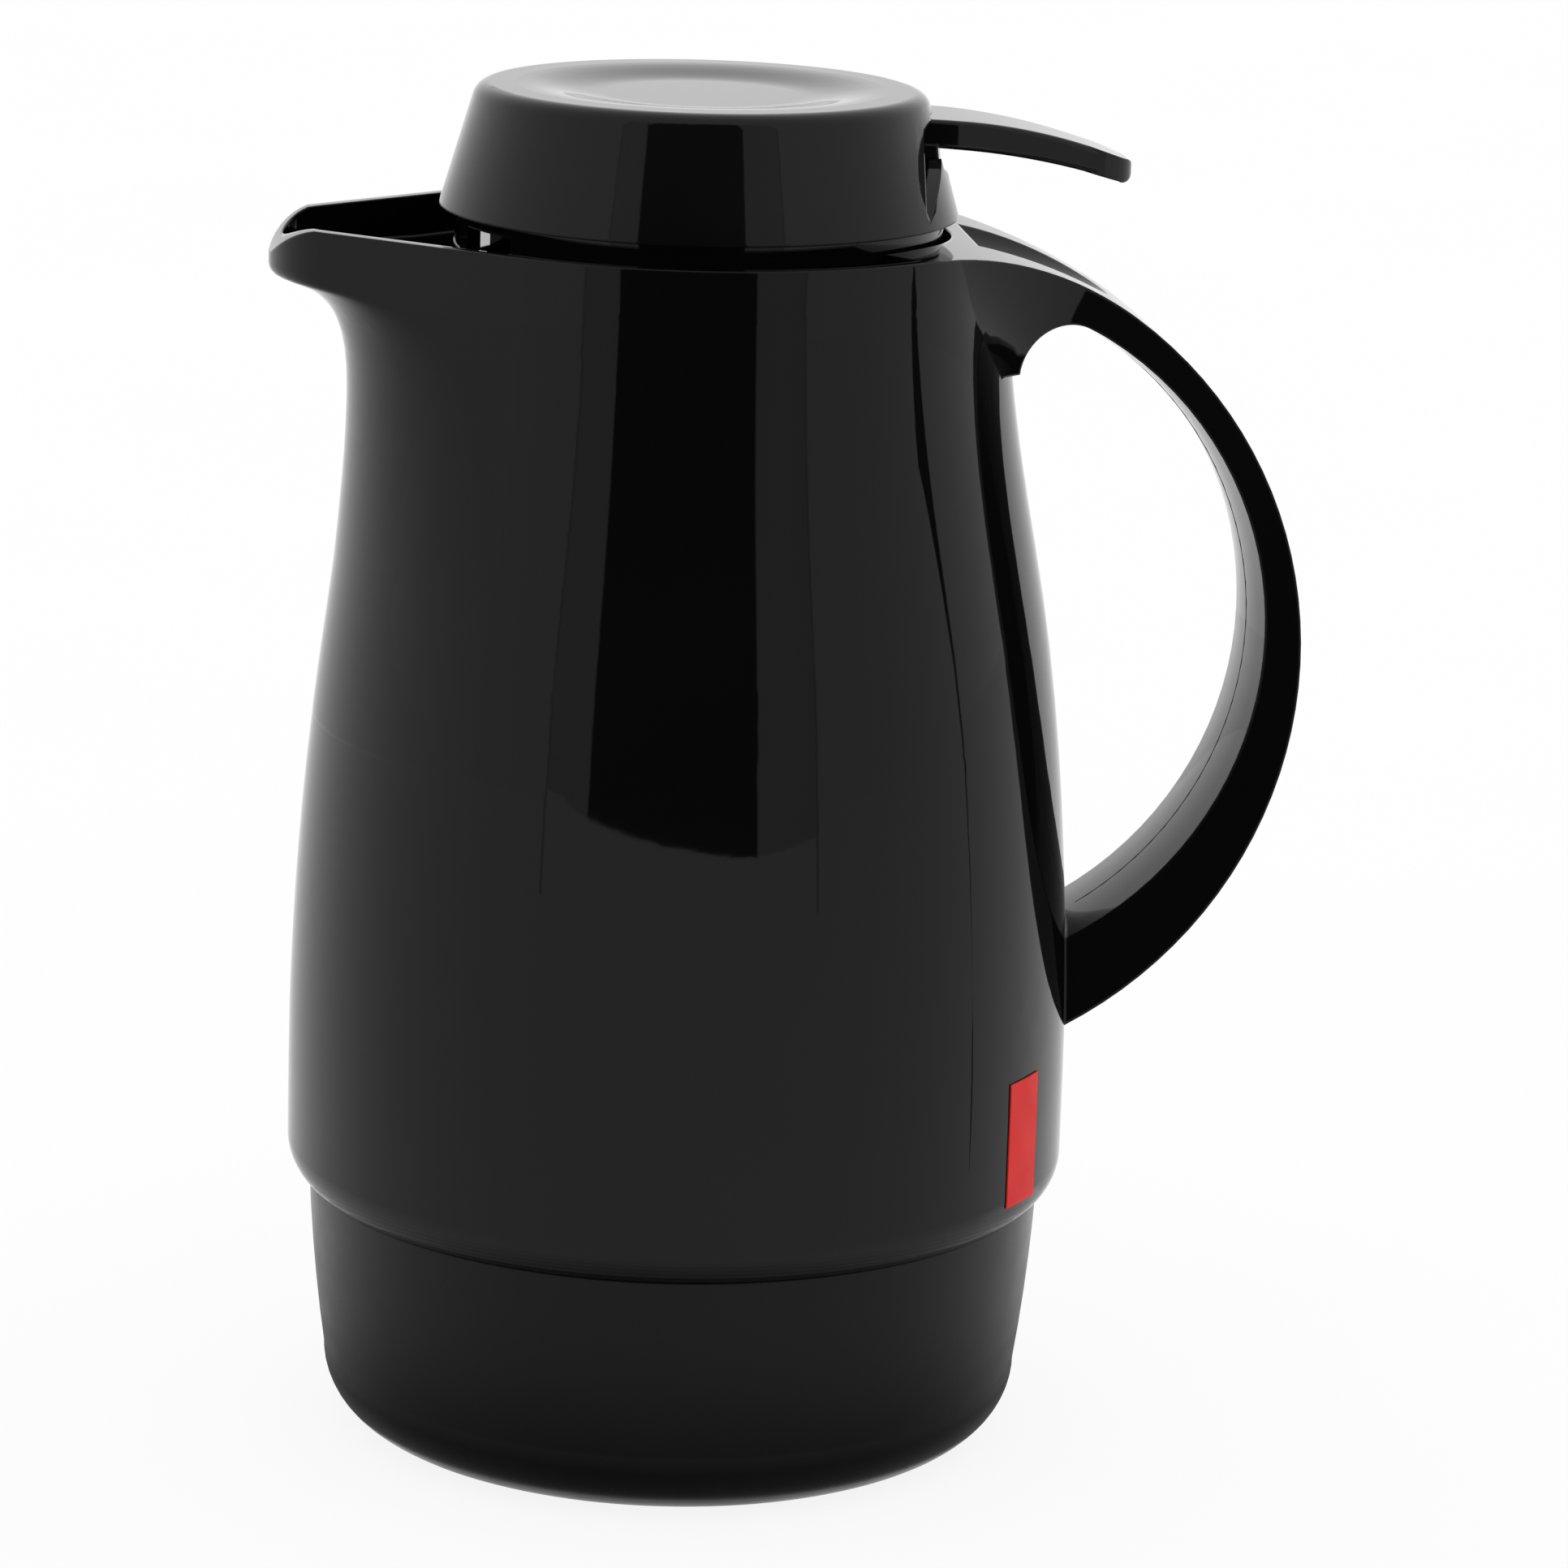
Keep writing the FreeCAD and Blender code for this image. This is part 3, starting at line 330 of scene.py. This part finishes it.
# silvered glass: a mirror film seen through the wall, slightly cloudy, with a clear coat
def silverFinish(name, s):
    finish, tree, skin, place = newFinish(name)
    cloud = noiseNode(tree, place, s["scale"], s["detail"])
    low, high = s["span"]
    tree.links.new(rampNode(tree, cloud, [(low, s["dark"]), (high, s["light"])]), skin.inputs["Base Color"])
    tree.links.new(rangeNode(tree, cloud, (0.0, 1.0), s["roughness"]), skin.inputs["Roughness"])
    relief = bumpNode(tree, noiseNode(tree, place, s["waveScale"], s["waveDetail"]), s["relief"], s["depth"])
    tree.links.new(relief.outputs[0], skin.inputs["Normal"])
    skin.inputs["Metallic"].default_value = s["metal"]
    skin.inputs["Coat Weight"].default_value = s["coat"]
    skin.inputs["Coat Roughness"].default_value = s["coatRoughness"]
    return finish


# each finish, and the nodes that wear it
jacketGloss = {"dark": (0.0016, 0.0016, 0.0017), "light": (0.0026, 0.0026, 0.0027), "driftScale": 14.0,
               "rubScale": 55.0, "roughness": (0.018, 0.045), "skinScale": 420.0, "skinDetail": 1.0,
               "relief": 0.025, "depth": 0.0001, "edge": 0.0007, "ior": 1.288}
capGloss = {"dark": (0.0024, 0.0024, 0.0025), "light": (0.0038, 0.0038, 0.0039), "driftScale": 22.0,
            "rubScale": 80.0, "roughness": (0.02, 0.05), "skinScale": 480.0, "skinDetail": 1.0,
            "relief": 0.03, "depth": 0.0001, "edge": 0.0006, "ior": 1.305}
leverGloss = {"dark": (0.0024, 0.0024, 0.0025), "light": (0.0042, 0.0042, 0.0043), "driftScale": 40.0,
              "rubScale": 120.0, "roughness": (0.025, 0.08), "skinScale": 520.0, "skinDetail": 1.0,
              "relief": 0.03, "depth": 0.0001, "edge": 0.0005, "ior": 1.34}
baseSatin = {"dark": (0.0014, 0.0014, 0.0015), "light": (0.0024, 0.0024, 0.0025), "driftScale": 18.0,
             "rubScale": 70.0, "roughness": (0.24, 0.32), "skinScale": 2600.0, "skinDetail": 3.0,
             "relief": 0.12, "depth": 0.00005, "edge": 0.0006, "ior": 1.25}
innerMoulding = {"dark": (0.010, 0.010, 0.011), "light": (0.016, 0.016, 0.017), "driftScale": 60.0,
                 "rubScale": 140.0, "roughness": (0.32, 0.48), "skinScale": 1800.0, "skinDetail": 3.0,
                 "relief": 0.2, "depth": 0.00006, "edge": 0.0003, "ior": 1.46}
greyRubber = {"dark": (0.11, 0.11, 0.115), "light": (0.17, 0.17, 0.175), "driftScale": 80.0,
              "rubScale": 220.0, "roughness": (0.62, 0.85), "skinScale": 1500.0, "skinDetail": 5.0,
              "relief": 0.4, "depth": 0.0001, "edge": 0.0002, "ior": 1.5}
labelRed = {"dark": (0.58, 0.012, 0.012), "light": (0.66, 0.020, 0.018), "driftScale": 160.0,
            "rubScale": 320.0, "roughness": (0.45, 0.6), "skinScale": 5200.0, "skinDetail": 4.0,
            "relief": 0.12, "depth": 0.00003, "edge": 0.0001, "ior": 1.25}
partingDark = {"dark": (0.0010, 0.0010, 0.0010), "light": (0.0016, 0.0016, 0.0016), "driftScale": 90.0,
               "rubScale": 260.0, "roughness": (0.55, 0.75), "skinScale": 2400.0, "skinDetail": 2.0,
               "relief": 0.1, "depth": 0.00002, "ior": 1.2}
springSteel = {"streak": (1.0, 1.0, 9.0), "scale": 900.0, "detail": 5.0, "span": (0.3, 0.7),
               "dark": (0.46, 0.46, 0.47), "light": (0.62, 0.62, 0.63), "roughness": (0.16, 0.32),
               "relief": 0.15, "depth": 0.00003}
pinSteel = {"streak": (12.0, 1.0, 12.0), "scale": 300.0, "detail": 5.0, "span": (0.3, 0.7),
            "dark": (0.50, 0.50, 0.51), "light": (0.66, 0.66, 0.67), "roughness": (0.12, 0.26),
            "relief": 0.15, "depth": 0.00003}
flaskSilver = {"scale": 30.0, "detail": 4.0, "span": (0.25, 0.75), "dark": (0.66, 0.65, 0.64),
               "light": (0.82, 0.81, 0.80), "roughness": (0.05, 0.16), "waveScale": 60.0, "waveDetail": 1.0,
               "relief": 0.2, "depth": 0.0002, "metal": 0.92, "coat": 0.6, "coatRoughness": 0.02}

wardrobe = [
    (mouldedFinish("jacketGloss", jacketGloss), ["body_jacket"]),
    (mouldedFinish("capGloss", capGloss), ["cap_shell", "stopper_plug"]),
    (mouldedFinish("leverGloss", leverGloss), ["lever"]),
    (mouldedFinish("baseSatin", baseSatin), ["base_cup"]),
    (mouldedFinish("innerMoulding", innerMoulding),
     ["centring_ring", "neck_collar", "valve_guide", "valve_poppet"]),
    (mouldedFinish("greyRubber", greyRubber),
     ["base_seal_ring", "base_cushion", "neck_gasket", "stopper_gasket", "valve_seal", "glass_spacers"]),
    (mouldedFinish("labelRed", labelRed), ["side_label"]),
    (silverFinish("flaskSilver", flaskSilver), ["glass_outer", "glass_inner"]),
    (steelFinish("springSteel", springSteel), ["valve_spring", "stem_clip"]),
    (steelFinish("pinSteel", pinSteel), ["lever_pin"]),
]
for finish, worn in wardrobe:
    for name in worn:
        slots = nodes[name].data.materials
        slots.clear()
        slots.append(finish)
print("finishes on", sum(len(worn) for finish, worn in wardrobe), "nodes")


# parting line on the finger side of the handle: a fine bead along the strap's crest
strapLine = {"centre": (0.0377, 0.0, 0.141), "radius": 0.0588, "from": -58.0, "sweep": 119.0,
             "wire": 0.0002, "sink": 0.00012, "steps": 180, "sides": 10}


# a tree with named sizes for a wire that follows a curve
def sizedTree(name, sizes):
    tree = bpy.data.node_groups.new(name, "GeometryNodeTree")
    for label, kind in sizes + [("Wire", "Float"), ("Steps", "Int"), ("Sides", "Int")]:
        tree.interface.new_socket(label, in_out="INPUT", socket_type="NodeSocket" + kind)
    tree.interface.new_socket("Geometry", in_out="OUTPUT", socket_type="NodeSocketGeometry")
    return tree, tree.nodes.new("NodeGroupInput").outputs


# a round wire along a curve, closed at its ends and dressed
def wireAlong(tree, given, curve, finish):
    ring = tree.nodes.new("GeometryNodeCurvePrimitiveCircle")
    tree.links.new(given["Wire"], ring.inputs["Radius"])
    tree.links.new(given["Sides"], ring.inputs["Resolution"])
    sweep = tree.nodes.new("GeometryNodeCurveToMesh")
    sweep.inputs["Fill Caps"].default_value = True
    tree.links.new(curve, sweep.inputs["Curve"])
    tree.links.new(ring.outputs["Curve"], sweep.inputs["Profile Curve"])
    whole = tree.nodes.new("GeometryNodeRealizeInstances")
    tree.links.new(sweep.outputs["Mesh"], whole.inputs["Geometry"])
    dress = tree.nodes.new("GeometryNodeSetMaterial")
    dress.inputs["Material"].default_value = finish
    tree.links.new(whole.outputs["Geometry"], dress.inputs["Geometry"])
    out = tree.nodes.new("NodeGroupOutput")
    tree.links.new(dress.outputs["Geometry"], out.inputs["Geometry"])


def beadTree(name, finish):
    tree, given = sizedTree(name, [("Centre", "Vector"), ("Radius", "Float"), ("From", "Float"), ("Sweep", "Float")])
    bow = tree.nodes.new("GeometryNodeCurveArc")
    bow.mode = "RADIUS"
    for label, source in (("Resolution", "Steps"), ("Radius", "Radius"), ("Start Angle", "From"),
                          ("Sweep Angle", "Sweep")):
        tree.links.new(given[source], bow.inputs[label])
    stand = tree.nodes.new("GeometryNodeTransform")
    stand.inputs["Rotation"].default_value = (math.pi / 2, 0.0, 0.0)
    tree.links.new(bow.outputs["Curve"], stand.inputs["Geometry"])
    tree.links.new(given["Centre"], stand.inputs["Translation"])
    wireAlong(tree, given, stand.outputs["Geometry"], finish)
    return tree


# grows a node tree on an empty mesh and keeps the result as a plain piece
def grownPiece(name, tree, values):
    holder = bpy.data.objects.new(name + "Holder", bpy.data.meshes.new(name + "Holder"))
    scene.collection.objects.link(holder)
    grower = holder.modifiers.new("grow", "NODES")
    grower.node_group = tree
    for item in tree.interface.items_tree:
        if item.in_out == "INPUT":
            grower[item.identifier] = values[item.name]
    holder.update_tag()
    bpy.context.view_layer.update()
    mesh = bpy.data.meshes.new_from_object(holder.evaluated_get(bpy.context.evaluated_depsgraph_get()))
    bpy.data.objects.remove(holder)
    shape = bmesh.new()
    shape.from_mesh(mesh)
    bmesh.ops.recalc_face_normals(shape, faces=shape.faces)
    shape.to_mesh(mesh)
    shape.free()
    for face in mesh.polygons:
        face.use_smooth = True
    mesh.name = name
    piece = bpy.data.objects.new(name, mesh)
    scene.collection.objects.link(piece)
    return piece


def makeStrapLine(s):
    tree = beadTree("partingBead", mouldedFinish("partingDark", partingDark))
    values = {"Centre": s["centre"], "Radius": s["radius"] + s["sink"], "From": math.radians(s["from"]),
              "Sweep": math.radians(s["sweep"]), "Wire": s["wire"], "Steps": s["steps"], "Sides": s["sides"]}
    bead = grownPiece("strapPartingLine", tree, values)
    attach(bead, "carafe")
    return bead


bead = makeStrapLine(strapLine)
print("parting line:", len(bead.data.polygons), "faces")


# return spring: one open coil, built once at a fixed length on the closure
valveCoil = {"wire": 0.00055, "turns": 4.5, "travel": 0.00585, "spare": 0.0001, "steps": 48, "sides": 14}


def coilTree(name, finish):
    tree, given = sizedTree(name, [("Foot", "Vector"), ("Radius", "Float"), ("Height", "Float"), ("Turns", "Float")])
    turns = tree.nodes.new("GeometryNodeCurveSpiral")
    for label, source in (("Resolution", "Steps"), ("Rotations", "Turns"), ("Start Radius", "Radius"),
                          ("End Radius", "Radius"), ("Height", "Height")):
        tree.links.new(given[source], turns.inputs[label])
    stand = tree.nodes.new("GeometryNodeTransform")
    tree.links.new(turns.outputs["Curve"], stand.inputs["Geometry"])
    tree.links.new(given["Foot"], stand.inputs["Translation"])
    wireAlong(tree, given, stand.outputs["Geometry"], finish)
    return tree


def makeValveCoil(s):
    corners = [Vector(corner) for corner in nodes["valve_spring"].bound_box]
    low = min(corner.z for corner in corners)
    high = max(corner.z for corner in corners)
    reach = max(corner.x for corner in corners)
    tree = coilTree("openCoil", bpy.data.materials["springSteel"])
    values = {"Foot": (0.0, 0.0, low + s["wire"]), "Radius": reach - s["wire"], "Height": high - low - 2 * s["wire"],
              "Turns": s["turns"], "Wire": s["wire"], "Steps": s["steps"], "Sides": s["sides"]}
    coil = grownPiece("valveCoil", tree, values)
    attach(coil, "closure")
    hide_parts("valve_spring")
    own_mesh(coil)
    return coil


coil = makeValveCoil(valveCoil)
print("valve coil:", len(coil.data.polygons), "faces")
